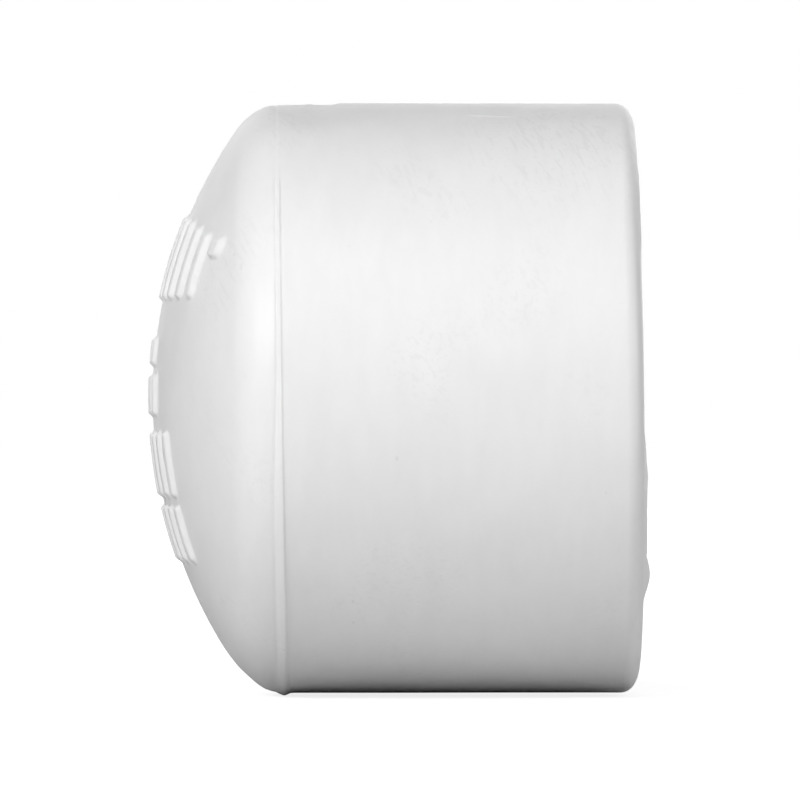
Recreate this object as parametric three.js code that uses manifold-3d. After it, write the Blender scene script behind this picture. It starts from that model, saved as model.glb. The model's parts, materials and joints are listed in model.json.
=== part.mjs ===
import * as THREE from "three";
import { mergeVertices } from "three/addons/utils/BufferGeometryUtils.js";
import Module from "manifold-3d";

// A socket cap for one inch plastic pressure pipe: one injection moulding with a
// tapered socket, a stop for the end of the pipe and a domed end wall.
// Millimetres. X is the pipe's axis: the socket opens towards +X, the dome faces -X,
// and the cap lies on its side with +Z up.

// The pipe that the socket takes
const PIPE_OUTER = 33.4; // diameter
const PIPE_BORE = 26.64; // diameter

// Socket
const ENTRY_CLEARANCE = 0.26; // the mouth is this much wider than the pipe
const WEDGE_FIT = 0.13; // the far end is this much narrower, so the pipe wedges in it
const SOCKET_DEPTH = 22.23;
const ENTRY_CHAMFER = 0.5;

// Outside of the barrel
const MOUTH_WALL = 3.82; // wall at the mouth
const RIM_ROUND = 1.5; // radius of the rim's outer corner

// End wall
const STOP_LAND = 4.0; // plain bore between the pipe stop and the inside of the dome
const BORE_ROUND = 1.2; // radius where that bore turns into the dome
const DOME_RADIUS = 33.0; // outside of the dome
const END_WALL = 4.2;
const SHOULDER_ROUND = 4.3; // radius between the dome and the barrel

// Raised marks on the dome: plain upright bars in rows, with no lettering
const MARK_RELIEF = 0.35;
const MARK_ROOT = 0.5; // how far a mark reaches into the wall under it
const BAR_ROWS = [
  { height: 9.8, tall: 5.8, wide: 1.0, pitch: 2.3, bars: 11 },
  { height: 10.3, tall: 1.3, wide: 1.3, pitch: 27.4, bars: 2 },
  { height: 3.25, tall: 1.9, wide: 0.7, pitch: 1.3, bars: 7 },
  { height: 0.2, tall: 2.8, wide: 0.9, pitch: 1.7, bars: 7 },
  { height: -4.6, tall: 4.4, wide: 1.0, pitch: 2.1, bars: 9 },
  { height: -9.4, tall: 3.8, wide: 0.9, pitch: 2.1, bars: 9 },
];

// Facets
const ROUND_FACETS = 60; // around the axis
const DOME_FACETS = 8;
const CORNER_FACETS = 4;

const entryRadius = (PIPE_OUTER + ENTRY_CLEARANCE) / 2;
const farRadius = (PIPE_OUTER - WEDGE_FIT) / 2;
const boreRadius = PIPE_BORE / 2;
const barrelRadius = entryRadius + MOUTH_WALL;

// Depths are measured from the mouth towards the dome. Both faces of the end wall are
// parts of spheres about one centre, which puts the inner one at the end of the bore.
const innerDomeRadius = DOME_RADIUS - END_WALL;
const boreEnd = SOCKET_DEPTH + STOP_LAND;
const domeCentre = boreEnd - Math.sqrt(innerDomeRadius ** 2 - boreRadius ** 2);

// Points on an arc about a centre, from one angle to another. Angle 0 points along the
// axis towards the dome, and 90 degrees away from the axis.
function arc(centreRadius, centreDepth, radius, from, to, facets) {
  const points = [];
  for (let i = 0; i <= facets; i += 1) {
    const angle = from + ((to - from) * i) / facets;
    const r = centreRadius + radius * Math.sin(angle);
    points.push(new THREE.Vector2(r, centreDepth + radius * Math.cos(angle)));
  }
  return points;
}

function onAxis(depth) {
  return new THREE.Vector2(0, depth);
}

// Where a round of the given radius touches both a sphere about the dome's centre and
// a cylinder, from inside both.
function roundBetween(sphereRadius, cylinderRadius, radius) {
  const centreRadius = cylinderRadius - radius;
  const reach = sphereRadius - radius;
  const centreDepth = domeCentre + Math.sqrt(reach ** 2 - centreRadius ** 2);
  return { centreRadius, centreDepth, angle: Math.asin(centreRadius / reach), radius };
}

// The outside, from the middle of the dome to the rim
function outerProfile() {
  const shoulder = roundBetween(DOME_RADIUS, barrelRadius, SHOULDER_ROUND);
  const dome = arc(0, domeCentre, DOME_RADIUS, 0, shoulder.angle, DOME_FACETS);
  dome[0] = onAxis(domeCentre + DOME_RADIUS);
  const round = arc(
    shoulder.centreRadius,
    shoulder.centreDepth,
    SHOULDER_ROUND,
    shoulder.angle,
    Math.PI / 2,
    CORNER_FACETS,
  );
  const rim = arc(
    barrelRadius - RIM_ROUND,
    RIM_ROUND,
    RIM_ROUND,
    Math.PI / 2,
    Math.PI,
    CORNER_FACETS,
  );
  return [...dome, ...round.slice(1), ...rim];
}

// The inside, from the rim to the middle of the end wall
function innerProfile() {
  const corner = roundBetween(innerDomeRadius, boreRadius, BORE_ROUND);
  const round = arc(
    corner.centreRadius,
    corner.centreDepth,
    BORE_ROUND,
    Math.PI / 2,
    corner.angle,
    CORNER_FACETS,
  );
  const dome = arc(0, domeCentre, innerDomeRadius, corner.angle, 0, DOME_FACETS);
  dome[DOME_FACETS] = onAxis(domeCentre + innerDomeRadius);
  return [
    new THREE.Vector2(entryRadius + ENTRY_CHAMFER, 0),
    new THREE.Vector2(entryRadius, ENTRY_CHAMFER),
    new THREE.Vector2(farRadius, SOCKET_DEPTH),
    new THREE.Vector2(boreRadius, SOCKET_DEPTH),
    ...round,
    ...dome.slice(1),
  ];
}

// A profile turned about X, with a facet rather than an edge underneath. Profiles here run
// down the outside, and LatheGeometry faces out where they run up it.
function turned(profile) {
  const halfFacet = Math.PI / ROUND_FACETS;
  const upwards = [...profile].reverse();
  const lathe = new THREE.LatheGeometry(upwards, ROUND_FACETS, halfFacet);
  return lathe.rotateZ(Math.PI / 2);
}

// The layer over the dome that the marks fill: from their roots to their tops
function markLayer() {
  const edge = roundBetween(DOME_RADIUS, barrelRadius, SHOULDER_ROUND).angle;
  const top = arc(0, domeCentre, DOME_RADIUS + MARK_RELIEF, 0, edge, DOME_FACETS);
  const root = arc(0, domeCentre, DOME_RADIUS - MARK_ROOT, edge, 0, DOME_FACETS);
  top[0] = onAxis(domeCentre + DOME_RADIUS + MARK_RELIEF);
  root[DOME_FACETS] = onAxis(domeCentre + DOME_RADIUS - MARK_ROOT);
  return turned([...top, ...root]);
}

// One upright bar, long enough along X to run right through the layer
function barPrism(across, up, wide, tall) {
  const bar = new THREE.BoxGeometry(DOME_RADIUS, wide, tall);
  return bar.translate(-domeCentre - DOME_RADIUS, across, up);
}

const wasm = await Module();
wasm.setup();

function solid(geometry) {
  const bare = geometry.clone();
  bare.deleteAttribute("normal");
  bare.deleteAttribute("uv");
  const merged = mergeVertices(bare);
  return new wasm.Manifold(
    new wasm.Mesh({
      numProp: 3,
      vertProperties: merged.attributes.position.array,
      triVerts: new Uint32Array(merged.index.array),
    }),
  );
}

function geometryOf(shape) {
  const mesh = shape.getMesh();
  const geometry = new THREE.BufferGeometry();
  const positions = new Float32Array(mesh.vertProperties);
  geometry.setAttribute("position", new THREE.BufferAttribute(positions, 3));
  geometry.setIndex(new THREE.BufferAttribute(new Uint32Array(mesh.triVerts), 1));
  geometry.computeVertexNormals();
  return geometry;
}

// Every bar of every row, cut to the layer over the dome
function raisedMarks() {
  const layer = solid(markLayer());
  const marks = [];
  for (const row of BAR_ROWS) {
    for (let i = 0; i < row.bars; i += 1) {
      const across = (i - (row.bars - 1) / 2) * row.pitch;
      const bar = solid(barPrism(across, row.height, row.wide, row.tall));
      marks.push(bar.intersect(layer));
    }
  }
  return marks;
}

function moulding() {
  const wall = solid(turned([...outerProfile(), ...innerProfile()]));
  return raisedMarks().reduce((whole, mark) => whole.add(mark), wall);
}

const unplasticisedVinyl = new THREE.MeshStandardMaterial({
  color: 0xf1f1ef,
  roughness: 0.45,
  metalness: 0,
});

const capBody = new THREE.Mesh(geometryOf(moulding()), unplasticisedVinyl);
capBody.name = "cap_body";

// The origin is on the axis, halfway between the mouth and the top of the marks.
capBody.geometry.computeBoundingBox();
capBody.position.x = -capBody.geometry.boundingBox.getCenter(new THREE.Vector3()).x;

const cap = new THREE.Group();
cap.add(capBody);

export default cap;
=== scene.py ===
"""A socket cap in white PVC for one inch pipe, lying on its side on a pale floor.

The cap is one moulding, so it is one piece here. Everything is in metres and in the part's own
frame: X is the pipe's axis, the mouth opens towards +X and the domed end faces -X.
"""

import json
import math

import bmesh
import bpy
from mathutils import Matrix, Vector, noise


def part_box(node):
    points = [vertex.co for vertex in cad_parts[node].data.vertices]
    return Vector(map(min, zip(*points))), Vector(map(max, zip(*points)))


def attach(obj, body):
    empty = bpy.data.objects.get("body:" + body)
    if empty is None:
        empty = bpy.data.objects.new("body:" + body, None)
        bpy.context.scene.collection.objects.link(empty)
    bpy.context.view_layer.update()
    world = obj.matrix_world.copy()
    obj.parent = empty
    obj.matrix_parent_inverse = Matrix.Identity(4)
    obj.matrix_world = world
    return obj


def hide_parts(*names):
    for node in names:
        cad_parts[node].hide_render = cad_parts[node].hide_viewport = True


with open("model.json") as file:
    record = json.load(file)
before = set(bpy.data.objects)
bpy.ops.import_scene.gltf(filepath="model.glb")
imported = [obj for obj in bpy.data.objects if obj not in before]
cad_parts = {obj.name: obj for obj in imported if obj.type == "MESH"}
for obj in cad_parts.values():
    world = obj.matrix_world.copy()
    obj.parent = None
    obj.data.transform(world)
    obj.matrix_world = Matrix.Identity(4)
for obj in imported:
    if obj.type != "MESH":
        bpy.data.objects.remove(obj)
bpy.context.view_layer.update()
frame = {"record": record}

MM = 0.001
X_AXIS = Vector((1, 0, 0))

# ---------------------------------------------------------------- sizes from the frame

low, high = (Vector(corner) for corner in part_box("cap_body"))
mount_at = {m["name"]: Vector(m["pos_m"]) for m in frame["record"]["mounts"]}
MOUTH_X = mount_at["socket_rim"].x
STOP_X = mount_at["pipe_stop"].x
BARREL_RADIUS = high.z

# ---------------------------------------------------------------- sizes of the moulding

ENTRY_RADIUS = 16.83 * MM
FAR_RADIUS = 16.635 * MM
ENTRY_CHAMFER = 0.5 * MM
PIPE_BORE_RADIUS = 13.32 * MM
BORE_ROUND = 1.2 * MM
# The rim's outer corner is a flat turn, softened where it meets the barrel and the mouth's face.
RIM_ROUND = 0.58 * MM
RIM_FACET_BACK = 0.64 * MM
RIM_FACET_IN = 1.10 * MM
RIM_EDGE_ROUND = 0.46 * MM
EDGE_ROUND = 0.14 * MM

DOME_RADIUS = 33.0 * MM
END_WALL = 4.2 * MM
SHOULDER_ROUND = 4.3 * MM

# Rows of bars stand where a maker's lettering would be. A row's sizes are in millimetres: the height of its
# middle over the axis, the bars' height, width and spacing, their number, and how much the ends are shorter.
MARK_RELIEF = 0.35 * MM
MARK_FLANK = 0.40 * MM
BAR_ROUND = 0.32 * MM
BAR_ROWS = (
    dict(height=9.8, tall=5.8, wide=1.0, pitch=2.3, bars=11, crown=1.5),
    dict(height=10.3, tall=1.3, wide=1.3, pitch=27.4, bars=2),
    dict(height=3.25, tall=1.9, wide=0.7, pitch=1.3, bars=7),
    dict(height=0.2, tall=2.8, wide=0.9, pitch=1.7, bars=7),
    dict(height=-4.6, tall=4.4, wide=1.0, pitch=2.1, bars=9),
    dict(height=-9.4, tall=3.8, wide=0.9, pitch=2.1, bars=9),
)

# The mould's two halves meet in a plane that leans a little. A lip stands on the dome's side of it, with a
# groove beside it on the near and far sides. Underneath, the lip is taller and rounder.
PARTING_X = -7.46 * MM
PARTING_LEAN = math.radians(0.85)
LIP_RISE = 0.18 * MM
LIP_RISE_BELOW = 0.55 * MM
LIP_FALL = 0.42 * MM
LIP_HEIGHT = 0.11 * MM
LIP_HEIGHT_BELOW = 0.17 * MM
LIP_TOP_BEFORE = 0.05 * MM
LIP_STEP = 0.16 * MM
LIP_STEP_LOWEST = 0.42 * MM
LIP_SHIFT_LOWEST = 0.32 * MM
LIP_RAGGED = 0.045 * MM
LIP_SEARCH = 1.2 * MM
GROOVE_SHARE = 0.5
GROOVE_GAP = 0.10 * MM
GROOVE_HALF_WIDTH = 0.14 * MM

# The mouth was trimmed a little out of square, and the barrel narrows by the mould's draft.
RIM_LEAN = math.radians(0.7)
RIM_LEAN_REACH = 6.0 * MM
RIM_LEAN_EASES_OVER = 13.0 * MM
RIM_LEAN_EASE = 1.5
DRAFT = 0.02 * MM

# Rings of facets close to the parting line, in millimetres from it
LEAN_REACH = 3.2 * MM
PARTING_LOOPS = (-1.0, -0.86, -0.74, -0.64, -0.55, -0.47, -0.4, -0.33, -0.26, -0.2, -0.15, -0.11, -0.07,
                 -0.03, 0.01, 0.05, 0.09, 0.14, 0.2, 0.28, 0.38, 0.5)

# Facets
PATCH_CELLS = 86
ROUND_STEPS = 4 * PATCH_CELLS
END_WALL_RINGS = 9
LONG_EDGE = 5 * MM
BARREL_CUTS = 22
BORE_CUTS = 5

# All that is farther than this from the axis is outer skin.
OUTER_SKIN = FAR_RADIUS + 1.2 * MM
# All that is farther than this from the axis is the shoulder, the barrel or the rim.
BARREL_SKIN = FAR_RADIUS + 2.0 * MM

DOME_CENTRE_X = low.x + MARK_RELIEF + DOME_RADIUS


def smooth(t):
    """0 below 0, 1 above 1, and an even S between."""
    t = min(max(t, 0.0), 1.0)
    return t * t * (3 - 2 * t)


def blend(start, end, share):
    """A value between start and end."""
    return start + (end - start) * share


def hump(t):
    """1 at 0, falling to 0 at -1 and 1."""
    return smooth(1 - abs(t))


# ---------------------------------------------------------------- the outline of the wall


def tangent_round(sphere_radius, cylinder_radius, rounding):
    """Where a round touches a sphere about the dome's centre, and the corner it rounds."""
    angle = math.asin((cylinder_radius - rounding) / (sphere_radius - rounding))
    touch = Vector((DOME_CENTRE_X - sphere_radius * math.cos(angle), 0, sphere_radius * math.sin(angle)))
    reach = (cylinder_radius - touch.z) / math.cos(angle)
    corner = touch + reach * Vector((math.sin(angle), 0, math.cos(angle)))
    return touch, corner, angle


shoulder_touch, shoulder_corner, shoulder_angle = tangent_round(DOME_RADIUS, BARREL_RADIUS, SHOULDER_ROUND)
shoulder_end = shoulder_touch.x + SHOULDER_ROUND * math.cos(shoulder_angle)
inner_radius = DOME_RADIUS - END_WALL
inner_touch, inner_corner, inner_angle = tangent_round(inner_radius, PIPE_BORE_RADIUS, BORE_ROUND)
DOME_EDGE_RADIUS = shoulder_touch.z


def wall_outline(bm):
    """The outline in the upright plane, from the dome's edge over the rim and in to the end wall's middle."""
    stations = [
        (shoulder_touch, 0, 0),
        (shoulder_corner, (shoulder_corner - shoulder_touch).length, 14),
        (Vector((MOUTH_X - RIM_FACET_BACK, 0, BARREL_RADIUS)), RIM_ROUND, 7),
        (Vector((MOUTH_X, 0, BARREL_RADIUS - RIM_FACET_IN)), RIM_EDGE_ROUND, 5),
        (Vector((MOUTH_X, 0, ENTRY_RADIUS + ENTRY_CHAMFER)), EDGE_ROUND, 3),
        (Vector((MOUTH_X - ENTRY_CHAMFER, 0, ENTRY_RADIUS)), EDGE_ROUND, 3),
        (Vector((STOP_X, 0, FAR_RADIUS)), 2 * EDGE_ROUND, 4),
        (Vector((STOP_X, 0, PIPE_BORE_RADIUS)), 2 * EDGE_ROUND, 4),
        (inner_corner, (inner_corner - inner_touch).length, 5),
        (inner_touch, 0, 0),
    ]
    corners = [bm.verts.new(place) for place, _, _ in stations]
    for one, two in zip(corners, corners[1:]):
        bm.edges.new((one, two))
    last = corners[-1]
    for i in range(1, END_WALL_RINGS + 1):
        angle = inner_angle * (1 - i / END_WALL_RINGS)
        x = DOME_CENTRE_X - inner_radius * math.cos(angle)
        point = bm.verts.new((x, 0, inner_radius * math.sin(angle)))
        bm.edges.new((last, point))
        last = point
    for corner, (_, rounding, segments) in zip(corners, stations):
        if segments:
            bmesh.ops.bevel(
                bm, geom=[corner], offset=rounding, segments=segments, profile=0.5,
                affect="VERTICES", material=-1,
            )
    long_edges = [e for e in bm.edges if e.calc_length() > LONG_EDGE]
    for edge in long_edges:
        outside = min(v.co.z for v in edge.verts) > OUTER_SKIN
        cuts = BARREL_CUTS if outside else BORE_CUTS
        bmesh.ops.subdivide_edges(bm, edges=[edge], cuts=cuts)
    for offset in PARTING_LOOPS:
        outer = [e for e in bm.edges if min(v.co.z for v in e.verts) > OUTER_SKIN]
        bmesh.ops.bisect_plane(
            bm, geom=outer + list({v for e in outer for v in e.verts}), dist=1e-7,
            plane_co=(PARTING_X + offset * MM, 0, 0), plane_no=X_AXIS,
        )
    bmesh.ops.remove_doubles(bm, verts=bm.verts[:], dist=0.012 * MM)


def outside_radius(x):
    """The outer surface's radius over the shoulder and the barrel."""
    over = max(shoulder_end - x, 0)
    return BARREL_RADIUS - SHOULDER_ROUND + math.sqrt(SHOULDER_ROUND**2 - over**2)


def lean_parting(bm):
    """Leans the loops near the parting line, sliding them along the surface."""
    for vert in bm.verts:
        co = vert.co
        if math.hypot(co.y, co.z) < OUTER_SKIN or co.x < shoulder_touch.x + 0.01 * MM:
            continue
        if co.x > MOUTH_X - 2 * RIM_FACET_IN:
            continue
        lean = -co.z * math.tan(PARTING_LEAN)
        reach = (co.x - PARTING_X) / LEAN_REACH
        co.x += lean * hump(reach)
        scale = outside_radius(co.x) / math.hypot(co.y, co.z)
        co.y *= scale
        co.z *= scale


def turn_wall(bm):
    """The outline spun about the pipe's axis."""
    wall_outline(bm)
    bmesh.ops.spin(
        bm, geom=bm.verts[:] + bm.edges[:], cent=(0, 0, 0), axis=X_AXIS,
        angle=math.tau, steps=ROUND_STEPS, use_merge=True,
    )
    bmesh.ops.remove_doubles(bm, verts=bm.verts[:], dist=0.001 * MM)


# ---------------------------------------------------------------- the dome and its raised bars


BAR_TOP_LOW = 0.92
BAR_TOP_UNEVEN = 0.12
BAR_TOP_PATCH = 260
FINE_FLANK = 1.1 * MARK_FLANK


def into_bar(across, up):
    """How far a point lies inside the nearest bar's outline, negative outside it."""
    nearest = -1.0
    for row in BAR_ROWS:
        middle = (row["bars"] - 1) / 2
        count = min(max(round(across / (row["pitch"] * MM) + middle), 0), row["bars"] - 1)
        trim = row.get("crown", 0) * ((count - middle) / middle) ** 2
        side = abs(across - (count - middle) * row["pitch"] * MM) - (row["wide"] / 2 * MM - BAR_ROUND)
        end = abs(up - (row["height"] - trim / 2) * MM) - ((row["tall"] - trim) / 2 * MM - BAR_ROUND)
        outside = math.hypot(max(side, 0), max(end, 0)) + min(max(side, end), 0) - BAR_ROUND
        nearest = max(nearest, -outside)
    return nearest


def bar_lift(across, up):
    """The height of the dome's surface over the plain sphere: soft flanks and slightly uneven tops."""
    flank = smooth(into_bar(across, up) / MARK_FLANK + 0.5)
    cut = noise.noise(Vector((across, up, 0)) * BAR_TOP_PATCH)
    return MARK_RELIEF * flank * (BAR_TOP_LOW + BAR_TOP_UNEVEN * cut)


def dome_x(across, up, lift):
    """How far along the axis the dome's surface is, raised by a lift."""
    return DOME_CENTRE_X - math.sqrt((DOME_RADIUS + lift) ** 2 - across**2 - up**2)


def refine(bm, wanted, cuts):
    """Subdivides the faces that have a corner where wanted(corner) is true."""
    faces = [f for f in bm.faces if any(wanted(v.co) for v in f.verts)]
    edges = list({e for f in faces for e in f.edges})
    bmesh.ops.subdivide_edges(bm, edges=edges, cuts=cuts, use_grid_fill=True)


def dome_patch(bm):
    """A square grid pressed into a round one, finer along the bars' edges, and laid on the dome."""
    bmesh.ops.create_grid(bm, x_segments=PATCH_CELLS, y_segments=PATCH_CELLS, size=1.0)
    for vert in bm.verts:
        across = math.tan(vert.co.x * math.pi / 4)
        up = math.tan(vert.co.y * math.pi / 4)
        reach = max(abs(across), abs(up))
        round_reach = reach / max(math.hypot(across, up), 1e-9)
        squeeze = 1 + reach**2 * (round_reach - 1)
        vert.co = Vector((0, across, up)) * (DOME_EDGE_RADIUS * squeeze)
    refine(bm, lambda co: abs(into_bar(co.y, co.z)) < FINE_FLANK, 2)
    for vert in bm.verts:
        lift = bar_lift(vert.co.y, vert.co.z)
        vert.co.x = dome_x(vert.co.y, vert.co.z, lift)


# ---------------------------------------------------------------- marks of the mould


def angle_up(co):
    """The angle round the axis from the near side (-Y), positive upwards, in degrees."""
    return math.degrees(math.atan2(co.z, -co.y))


def from_axis(co):
    """The distance from the pipe's axis."""
    return math.hypot(co.y, co.z)


def past_parting(co):
    """Distance from the leaning parting plane, positive on the barrel's side."""
    return (co.x - PARTING_X) * math.cos(PARTING_LEAN) + co.z * math.sin(PARTING_LEAN)


def move_out(vert, lift):
    """Moves a point away from the axis, or towards it if the lift is negative."""
    radius = from_axis(vert.co)
    scale = (radius + lift) / radius
    vert.co.y *= scale
    vert.co.z *= scale


def slope_up(co):
    """The angle of a place on the surface over the axis's level, the same on the near and far side."""
    return math.degrees(math.asin(max(-1.0, min(1.0, co.z / max(from_axis(co), 1e-9)))))


LIP_DASHES_FROM = 16
LIP_ENDS_AT = 44


def lip_height(up, around):
    """The lip is tall underneath, low at mid-height, uneven above that and nearly gone near the top."""
    below = max(-math.sin(math.radians(up)), 0)
    height = blend(LIP_HEIGHT, LIP_HEIGHT_BELOW, below**1.2)
    dashes = smooth(1.8 * noise.noise(around * 24 + Vector((3.1, 0, 0))) + 0.85)
    above = smooth((up - LIP_DASHES_FROM) / 8)
    ended = smooth((up - LIP_ENDS_AT) / 3)
    return height * (1 + above * (1.0 * dashes - 0.7)) * (1 - 0.75 * ended)


def shape_parting_line(bm):
    """The lip that stands along the dome's side of the parting line and drops off onto the barrel."""
    for vert in bm.verts:
        co = vert.co
        past = past_parting(co)
        if abs(past) > LIP_SEARCH or from_axis(co) < OUTER_SKIN:
            continue
        up = slope_up(co)
        around = Vector((co.y, co.z, 0)).normalized()
        ragged = noise.noise(around * 17) * 0.5 + noise.noise(around * 46) * 0.5
        below = min(max(-co.z / BARREL_RADIUS, 0), 1)
        lowest = below**10
        past += LIP_RAGGED * ragged + LIP_SHIFT_LOWEST * lowest
        rise = blend(LIP_RISE, LIP_RISE_BELOW, smooth((14 - up) / 40))
        climb = min(max((past + LIP_TOP_BEFORE + rise) / rise, 0), 1)
        step = smooth((past + LIP_TOP_BEFORE) / (LIP_STEP + LIP_STEP_LOWEST * lowest))
        tail = smooth(1 - past / LIP_FALL)
        left_over = 0.1 + 0.3 * below
        profile = climb * (1 - step) + step * left_over * tail
        profile -= GROOVE_SHARE * (1 - below) * hump((past + rise + GROOVE_GAP) / GROOVE_HALF_WIDTH)
        if profile != 0:
            move_out(vert, lip_height(up, around) * profile)


FLAT_X = -10.2 * MM
FLAT_REACH = 1.6 * MM
FLAT_DEPTH = 0.24 * MM


def flatten_shoulder(bm):
    """A slight flat low on the shoulder."""
    for vert in bm.verts:
        co = vert.co
        if from_axis(co) < OUTER_SKIN:
            continue
        amount = hump((co.x - FLAT_X) / FLAT_REACH) * smooth((-slope_up(co) - 55) / 25)
        if amount > 0:
            move_out(vert, -FLAT_DEPTH * amount)


# The gate and the scrape: places along the axis, and angles up from the near side in degrees
GATE_X = -5.6 * MM
GATE_LONG = 1.9 * MM
GATE_HALF_ANGLE = 24.0
GATE_DEPTH = 0.13 * MM
GATE_TORN_COARSE = 0.07 * MM
GATE_TORN_FINE = 0.10 * MM
GATE_TORN_SUNK = 0.02 * MM
SCRAPE_LOW_X = 4.9 * MM
SCRAPE_HIGH_X = 9.3 * MM
SCRAPE_UP = 71.8
SCRAPE_TURN = 0.35
SCRAPE_LIP = 0.055 * MM
SCRAPE_DEPTH = 0.05 * MM
NICK_X = 10.7 * MM
NICK_UP = 75.5
NICK_DEPTH = 0.09 * MM
NICK_PUSHED_UP = 73.2
NICK_PUSHED = 0.06 * MM


def gate_reach(co):
    """0 at the middle of the trimmed gate on top of the barrel, 1 at its outline."""
    along = (co.x - GATE_X) / (GATE_LONG if co.x > GATE_X else 1.6 * GATE_LONG)
    around = (angle_up(co) - 90) / GATE_HALF_ANGLE
    return math.hypot(along, around)


def on_barrel(co):
    """Whether a place is on the barrel's outer skin, past the parting line."""
    return from_axis(co) > BARREL_SKIN and past_parting(co) > 0


def shape_gate(bm):
    """The shallow hollow where the gate was cut off, with torn plastic in its middle."""
    refine(bm, lambda co: on_barrel(co) and past_parting(co) > 0.1 * MM and gate_reach(co) < 1.15, 3)
    for vert in bm.verts:
        co = vert.co
        onto_shoulder = smooth((past_parting(co) + 1.1 * MM) / (0.9 * MM))
        if from_axis(co) < BARREL_SKIN or onto_shoulder == 0:
            continue
        reach = gate_reach(co)
        if reach > 1.2:
            continue
        torn = noise.noise(co * 1100) * GATE_TORN_COARSE + noise.noise(co * 2900) * GATE_TORN_FINE
        hollow = smooth((1.15 - reach) / 0.45)
        middle = smooth((0.5 - reach) / 0.35)
        move_out(vert, (-GATE_DEPTH * hollow + (torn - GATE_TORN_SUNK) * middle) * onto_shoulder)


def shape_scrape(bm):
    """A scrape along the barrel's upper side near the mouth, and a nick at its end."""
    def near(co):
        along_it = SCRAPE_LOW_X - 1 * MM < co.x < NICK_X + 1.4 * MM
        return on_barrel(co) and along_it and 66 < angle_up(co) < 82
    refine(bm, near, 4)
    for vert in bm.verts:
        co = vert.co
        if not near(co):
            continue
        up = angle_up(co)
        along = smooth((co.x - SCRAPE_LOW_X) / (0.5 * MM)) * smooth((SCRAPE_HIGH_X - co.x) / (1.5 * MM))
        over = up - SCRAPE_UP + SCRAPE_TURN * (co.x - SCRAPE_LOW_X) / MM
        lip = hump(over / 0.55)
        flat = smooth(over / 0.5) * smooth((9 - over) / 5)
        move_out(vert, along * (SCRAPE_LIP * lip - SCRAPE_DEPTH * flat))
        nick = math.hypot((co.x - NICK_X) / (0.55 * MM), (up - NICK_UP) / 2.6)
        pushed = math.hypot((co.x - NICK_X - 0.2 * MM) / (0.7 * MM), (up - NICK_PUSHED_UP) / 1.3)
        move_out(vert, NICK_PUSHED * hump(pushed) - NICK_DEPTH * hump(nick))


# Flash on the rim, between angles up from the near side in degrees, and its half widths across the rim
RIM_FLASH_RADIUS = BARREL_RADIUS - RIM_FACET_IN - 0.25 * MM
RIM_FLASH_LIFT = 0.21 * MM
RIM_FLASH_HALF_WIDTH = 0.17 * MM
RIM_FLASH_EDGE = 0.08 * MM
RIM_LENS_LIFT = 0.40 * MM
RIM_LENS_UP = -38.6
RIM_LENS_HALF_ANGLE = 8.5
RIM_LENS_HALF_WIDTH = 0.45 * MM
RIM_UPPER_SHARE = 0.35


def rim_flash(co):
    """The height of the thin flash on the rim, and of the lens-shaped blob at its low end."""
    up = angle_up(co)
    sliver = smooth((up + 36) / 3) * smooth((-6 - up) / 8)
    upper = RIM_UPPER_SHARE * smooth((up - 28) / 6) * smooth((56 - up) / 5)
    sliver = max(sliver, upper) * (0.85 + 0.5 * noise.noise(Vector((up * 0.21, 0, 0))))
    lens = hump((up - RIM_LENS_UP) / RIM_LENS_HALF_ANGLE)
    across = from_axis(co) - RIM_FLASH_RADIUS
    thin = smooth((RIM_FLASH_HALF_WIDTH - abs(across)) / RIM_FLASH_EDGE)
    thick = hump(across / RIM_LENS_HALF_WIDTH)
    return max(RIM_FLASH_LIFT * sliver * thin, RIM_LENS_LIFT * lens * thick)


def shape_rim_flash(bm):
    """The flash squeezed out at the rim's near side."""
    def near(co):
        on_rim = co.x > MOUTH_X - 0.35 * MM and abs(from_axis(co) - RIM_FLASH_RADIUS) < 0.6 * MM
        return on_rim and -52 < angle_up(co) < 58
    refine(bm, near, 3)
    for vert in bm.verts:
        if near(vert.co):
            vert.co.x += rim_flash(vert.co)


def lean_rim(bm):
    """Leans the mouth's face a little, and tapers the barrel by the mould's draft."""
    for vert in bm.verts:
        co = vert.co
        if on_barrel(co):
            move_out(vert, -DRAFT * (co.x - PARTING_X) / (MOUTH_X - PARTING_X))
        over_top = max(co.z - RIM_LEAN_EASES_OVER, 0)
        lean = (co.z - RIM_LEAN_EASE * over_top) * math.tan(RIM_LEAN)
        co.x -= lean * smooth((co.x - MOUTH_X + RIM_LEAN_REACH) / RIM_LEAN_REACH)


WAVE_HEIGHT = 0.02 * MM


def ripple(bm):
    """Cooling leaves the barrel very slightly wavy."""
    for vert in bm.verts:
        co = vert.co
        before_rim = co.x < MOUTH_X - 1.5 * RIM_FACET_BACK
        if from_axis(co) > BARREL_SKIN and past_parting(co) > 0.3 * MM and before_rim:
            move_out(vert, WAVE_HEIGHT * noise.noise(co * 110))


# ---------------------------------------------------------------- the moulding


def make_moulding():
    """The whole cap as one closed mesh."""
    bm = bmesh.new()
    turn_wall(bm)
    lean_parting(bm)
    wall = bpy.data.meshes.new("wall")
    bm.to_mesh(wall)
    bm.clear()
    dome_patch(bm)
    bm.from_mesh(wall)
    bpy.data.meshes.remove(wall)
    bmesh.ops.remove_doubles(bm, verts=bm.verts[:], dist=0.002 * MM)
    shape_gate(bm)
    shape_scrape(bm)
    shape_rim_flash(bm)
    ripple(bm)
    flatten_shoulder(bm)
    shape_parting_line(bm)
    lean_rim(bm)
    bmesh.ops.recalc_face_normals(bm, faces=bm.faces[:])
    for face in bm.faces:
        face.smooth = True
    mesh = bpy.data.meshes.new("cap_moulding")
    bm.to_mesh(mesh)
    bm.free()
    piece = bpy.data.objects.new("cap_moulding", mesh)
    bpy.context.collection.objects.link(piece)
    return piece


# ---------------------------------------------------------------- material


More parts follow.
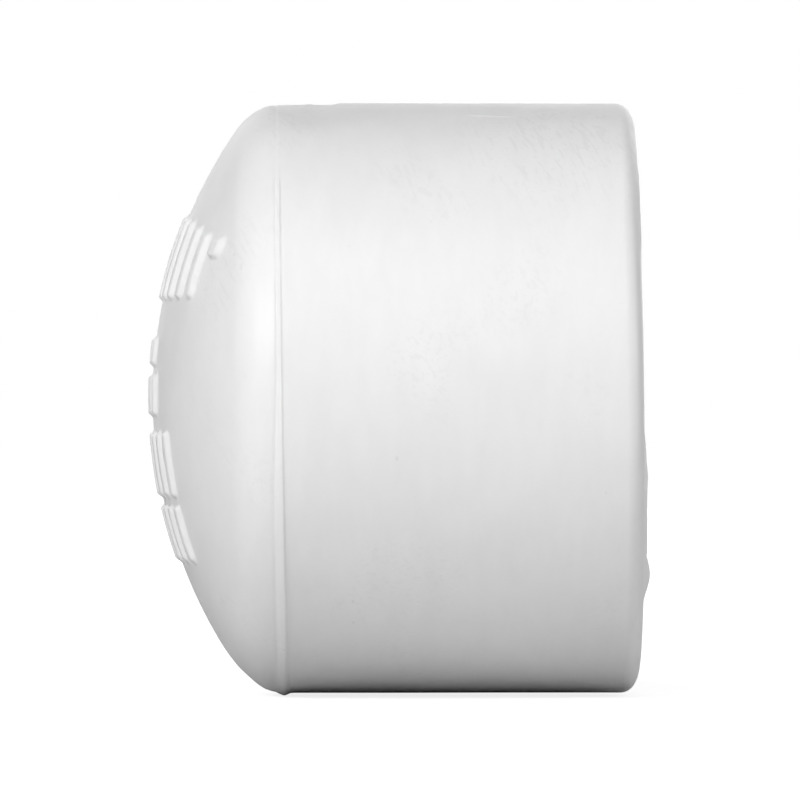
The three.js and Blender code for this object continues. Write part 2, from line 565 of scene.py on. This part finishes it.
class Nodes:
    """A small helper that adds nodes and links them."""

    def __init__(self, tree):
        self.tree = tree
        tree.nodes.clear()

    def add(self, kind, **settings):
        node = self.tree.nodes.new(kind)
        for name, value in settings.items():
            setattr(node, name, value)
        return node

    def link(self, source, target):
        self.tree.links.new(source, target)

    def math(self, operation, a, b):
        node = self.add("ShaderNodeMath", operation=operation)
        for socket, value in zip(node.inputs, (a, b)):
            if isinstance(value, (int, float)):
                socket.default_value = value
            else:
                self.link(value, socket)
        return node.outputs[0]

    def noise(self, coordinates, scale, detail=2.0, roughness=0.5):
        node = self.add("ShaderNodeTexNoise")
        node.inputs["Scale"].default_value = scale
        node.inputs["Detail"].default_value = detail
        node.inputs["Roughness"].default_value = roughness
        self.link(coordinates, node.inputs["Vector"])
        return node.outputs["Fac"]

    def mapped(self, coordinates, rotation=(0, 0, 0), scale=(1, 1, 1)):
        node = self.add("ShaderNodeMapping")
        node.inputs["Rotation"].default_value = rotation
        node.inputs["Scale"].default_value = scale
        self.link(coordinates, node.inputs["Vector"])
        return node.outputs["Vector"]

    def ramp(self, value, low_end, high_end, low_value=0.0, high_value=1.0):
        node = self.add("ShaderNodeMapRange", clamp=True)
        for name, number in zip(
            ("From Min", "From Max", "To Min", "To Max"), (low_end, high_end, low_value, high_value)
        ):
            node.inputs[name].default_value = number
        self.link(value, node.inputs["Value"])
        return node.outputs["Result"]


def scuffs(nodes, coordinates, turn, fineness, rarity):
    """Short strokes that run one way. 1 on a stroke."""
    turned = nodes.mapped(coordinates, rotation=turn)
    stretched = nodes.mapped(turned, scale=(fineness, fineness, fineness * 0.16))
    strokes = nodes.noise(stretched, 1.0, detail=1.0)
    return nodes.ramp(strokes, rarity, rarity + 0.09)


def near_place(nodes, coordinates, place, reach):
    """1 within a patch about a place, fading to 0 at its reach."""
    gap = nodes.add("ShaderNodeVectorMath", operation="DISTANCE")
    nodes.link(coordinates, gap.inputs[0])
    gap.inputs[1].default_value = place
    return nodes.ramp(gap.outputs["Value"], reach, 0.45 * reach)


TONE_LOW, TONE_HIGH = 0.842, 0.878
SCUFF_PLACE = (11.5 * MM, -10.5 * MM, 17.0 * MM)
SCUFF_REACH = 8.5 * MM
MARK_GREY = 0.045
SPECK_GREY = 0.06
SHEEN_LOW, SHEEN_HIGH = 0.40, 0.50
MARK_DULL = 0.12
BUMP_STRENGTH = 0.4
BUMP_DEPTH = 0.015 * MM
SUBSURFACE_DEPTH = 0.6 * MM


def white_pvc():
    """Moulded white PVC with a satin surface, and marks from handling."""
    material = bpy.data.materials.new("white_pvc")
    material.use_nodes = True
    nodes = Nodes(material.node_tree)
    coordinates = nodes.add("ShaderNodeTexCoord").outputs["Object"]

    clouds = nodes.noise(coordinates, 170, detail=3.0)
    flow = nodes.noise(nodes.mapped(coordinates, scale=(900, 260, 260)), 1.0, detail=2.0, roughness=0.6)
    grain = nodes.noise(coordinates, 2300, detail=2.0)

    # handling marks: one scuffed patch above the mouth, and stray strokes elsewhere
    patch = near_place(nodes, coordinates, SCUFF_PLACE, SCUFF_REACH)
    loose = nodes.ramp(nodes.noise(coordinates, 95, detail=1.0), 0.52, 0.66, 0.0, 0.7)
    scuffed = nodes.math("MAXIMUM", patch, loose)
    strokes = nodes.math(
        "MAXIMUM",
        scuffs(nodes, coordinates, (0.95, 0.28, 0.0), 3000, 0.56),
        scuffs(nodes, coordinates, (-0.6, 0.5, 0.3), 3600, 0.62),
    )
    marks = nodes.math("MULTIPLY", strokes, scuffed)
    specks = nodes.ramp(nodes.noise(coordinates, 1700, detail=0.0), 0.875, 0.9)

    # colour: neutral white, faintly clouded along the flow, a little greyer in the marks
    mottle = nodes.math("ADD", nodes.math("MULTIPLY", clouds, 0.5), nodes.math("MULTIPLY", flow, 0.5))
    tone = nodes.ramp(mottle, 0.32, 0.68, TONE_LOW, TONE_HIGH)
    dulled = nodes.math("SUBTRACT", tone, nodes.math("MULTIPLY", marks, MARK_GREY))
    dulled = nodes.math("SUBTRACT", dulled, nodes.math("MULTIPLY", specks, SPECK_GREY))
    colour = nodes.add("ShaderNodeCombineColor")
    for channel in colour.inputs:
        nodes.link(dulled, channel)

    # roughness: satin, uneven, rougher in the marks
    sheen = nodes.ramp(clouds, 0.35, 0.65, SHEEN_LOW, SHEEN_HIGH)
    roughness = nodes.math("ADD", sheen, nodes.math("MULTIPLY", marks, MARK_DULL))

    # height: fine grain, soft flow ripple, shallow marks
    height = nodes.math("ADD", nodes.math("MULTIPLY", grain, 0.3), nodes.math("MULTIPLY", flow, 1.0))
    height = nodes.math("SUBTRACT", height, nodes.math("MULTIPLY", marks, 0.35))
    bump = nodes.add("ShaderNodeBump")
    bump.inputs["Strength"].default_value = BUMP_STRENGTH
    bump.inputs["Distance"].default_value = BUMP_DEPTH
    nodes.link(height, bump.inputs["Height"])

    shader = nodes.add("ShaderNodeBsdfPrincipled")
    shader.inputs["IOR"].default_value = 1.53
    shader.inputs["Specular IOR Level"].default_value = 0.35
    shader.inputs["Subsurface Weight"].default_value = 0.12
    shader.inputs["Subsurface Radius"].default_value = (1.0, 1.0, 1.0)
    shader.inputs["Subsurface Scale"].default_value = SUBSURFACE_DEPTH
    nodes.link(colour.outputs[0], shader.inputs["Base Color"])
    nodes.link(roughness, shader.inputs["Roughness"])
    nodes.link(bump.outputs["Normal"], shader.inputs["Normal"])
    output = nodes.add("ShaderNodeOutputMaterial")
    nodes.link(shader.outputs[0], output.inputs["Surface"])
    return material


# ---------------------------------------------------------------- studio


VIEW_DISTANCE = 26.62 * BARREL_RADIUS
VIEW_TURN = math.radians(-0.33)
VIEW_AIM = Vector((0.62 * MM, 0, -0.135 * MM))
LENS = 353.0


def place_camera():
    """A long lens, level with the cap's axis and square to it."""
    camera = bpy.data.objects.new("camera", bpy.data.cameras.new("camera"))
    bpy.context.collection.objects.link(camera)
    back = Vector((math.sin(VIEW_TURN), -math.cos(VIEW_TURN), 0))
    camera.location = VIEW_AIM + back * VIEW_DISTANCE
    camera.rotation_mode = "QUATERNION"
    camera.rotation_quaternion = (-back).to_track_quat("-Z", "Y")
    camera.data.lens = LENS
    camera.data.sensor_width = 36.0
    camera.data.clip_start = 0.01
    camera.data.clip_end = 20.0
    bpy.context.scene.camera = camera


def softbox(name, azimuth, elevation, distance, width, tall, power):
    """A soft area light. Azimuth 0 is at the camera, negative towards the dome, in degrees."""
    light = bpy.data.lights.new(name, "AREA")
    light.shape = "RECTANGLE"
    light.size = width
    light.size_y = tall
    light.energy = power
    lamp = bpy.data.objects.new(name, light)
    bpy.context.collection.objects.link(lamp)
    turn, rise = math.radians(azimuth), math.radians(elevation)
    away = Vector((math.sin(turn) * math.cos(rise), -math.cos(turn) * math.cos(rise), math.sin(rise)))
    lamp.location = away * distance
    lamp.rotation_mode = "QUATERNION"
    lamp.rotation_quaternion = away.to_track_quat("Z", "Y")
    return lamp


# The light that reaches the cap from all round
AMBIENT = 0.08

# name, azimuth, elevation, distance, width, height, power in watts
SOFTBOXES = (
    ("key_softbox", -45, 25, 0.9, 0.3, 0.3, 2.66),
    ("front_softbox", -20, 25, 0.9, 0.3, 0.3, 2.36),
    ("high_softbox", -14, 50, 0.9, 0.45, 0.45, 2.25),
    ("right_softbox", 85, 8, 0.9, 0.45, 0.45, 2.5),
    ("low_right_softbox", 50, 20, 0.9, 0.45, 0.45, 0.28),
    ("back_right_softbox", 160, 12, 0.9, 0.45, 0.45, 1.6),
    ("back_left_softbox", -172, 12, 0.9, 0.45, 0.45, 1.2),
)


def light_studio():
    """Soft lights, and a white surround that only the camera sees at full strength."""
    for softbox_facts in SOFTBOXES:
        softbox(*softbox_facts)
    world = bpy.data.worlds.new("studio")
    bpy.context.scene.world = world
    world.use_nodes = True
    nodes = Nodes(world.node_tree)
    seen = nodes.add("ShaderNodeLightPath").outputs["Is Camera Ray"]
    strength = nodes.ramp(seen, 0.0, 1.0, AMBIENT, 1.0)
    background = nodes.add("ShaderNodeBackground")
    background.inputs["Color"].default_value = (1, 1, 1, 1)
    nodes.link(strength, background.inputs["Strength"])
    output = nodes.add("ShaderNodeOutputWorld")
    nodes.link(background.outputs[0], output.inputs["Surface"])
    bpy.context.scene.view_settings.view_transform = "Standard"


# Distances from the middle of the part (the floor's painted glow, weaker near the cap) and from its axis
# (painted shade under the cap in the light the floor sends back), in metres
GLOW_FROM, GLOW_TO = 0.02, 0.09
GLOW_NEAR, GLOW_FAR = 0.80, 1.0
UNDER_SHADE_FROM, UNDER_SHADE_TO = 0.0214, 0.0265
UNDER_SHADE_NEAR, UNDER_SHADE_FAR = 0.57, 0.715
PAPER_GREY = 0.45


def floor_paper():
    """Pale paper with a painted glow that makes it look brighter away from the cap, and painted shade that
    makes it send back less light right under it.
    """
    material = bpy.data.materials.new("pale_paper")
    material.use_nodes = True
    nodes = Nodes(material.node_tree)
    coordinates = nodes.add("ShaderNodeTexCoord").outputs["Object"]
    distance = nodes.add("ShaderNodeVectorMath", operation="LENGTH")
    nodes.link(coordinates, distance.inputs[0])
    # Painted glow: the paper glows to the camera like lit paper, less strongly near the cap so that the shade
    # around the cap shows.
    glow = nodes.ramp(distance.outputs["Value"], GLOW_FROM, GLOW_TO, GLOW_NEAR, GLOW_FAR)
    to_side = nodes.add("ShaderNodeVectorMath", operation="LENGTH")
    nodes.link(nodes.mapped(coordinates, scale=(0, 1, 1)), to_side.inputs[0])
    # Painted shade: the paper's colour for light it sends back onto the cap is darker close under and beside
    # the cap's axis.
    under_shade_bounce = nodes.ramp(to_side.outputs["Value"], UNDER_SHADE_FROM, UNDER_SHADE_TO, UNDER_SHADE_NEAR, UNDER_SHADE_FAR)
    paper = nodes.add("ShaderNodeBsdfDiffuse")
    paper.inputs["Color"].default_value = (PAPER_GREY, PAPER_GREY, PAPER_GREY, 1)
    glow_shader = nodes.add("ShaderNodeEmission")
    nodes.link(glow, glow_shader.inputs["Strength"])
    both = nodes.add("ShaderNodeAddShader")
    nodes.link(paper.outputs[0], both.inputs[0])
    nodes.link(glow_shader.outputs[0], both.inputs[1])
    # The camera sees the paper with its painted glow; light bouncing onto the cap sees the darker copy with
    # painted shade.
    seen = nodes.add("ShaderNodeLightPath").outputs["Is Camera Ray"]
    bounce = nodes.add("ShaderNodeBsdfDiffuse")
    nodes.link(under_shade_bounce, bounce.inputs["Color"])
    mix = nodes.add("ShaderNodeMixShader")
    nodes.link(seen, mix.inputs[0])
    nodes.link(bounce.outputs[0], mix.inputs[1])
    nodes.link(both.outputs[0], mix.inputs[2])
    output = nodes.add("ShaderNodeOutputMaterial")
    nodes.link(mix.outputs[0], output.inputs["Surface"])
    return material


FLOOR_HALF = 3.0


def lay_floor(height):
    """A wide flat floor at a height."""
    bm = bmesh.new()
    bmesh.ops.create_grid(bm, x_segments=1, y_segments=1, size=FLOOR_HALF)
    bmesh.ops.translate(bm, verts=bm.verts[:], vec=(0, 0, height))
    mesh = bpy.data.meshes.new("floor")
    bm.to_mesh(mesh)
    bm.free()
    floor = bpy.data.objects.new("floor", mesh)
    bpy.context.collection.objects.link(floor)
    floor.data.materials.append(floor_paper())


# ---------------------------------------------------------------- putting it together

place_camera()
moulding = make_moulding()
moulding.data.materials.append(white_pvc())
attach(moulding, "root")
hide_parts("cap_body")
lay_floor(min(v.co.z for v in moulding.data.vertices))
light_studio()
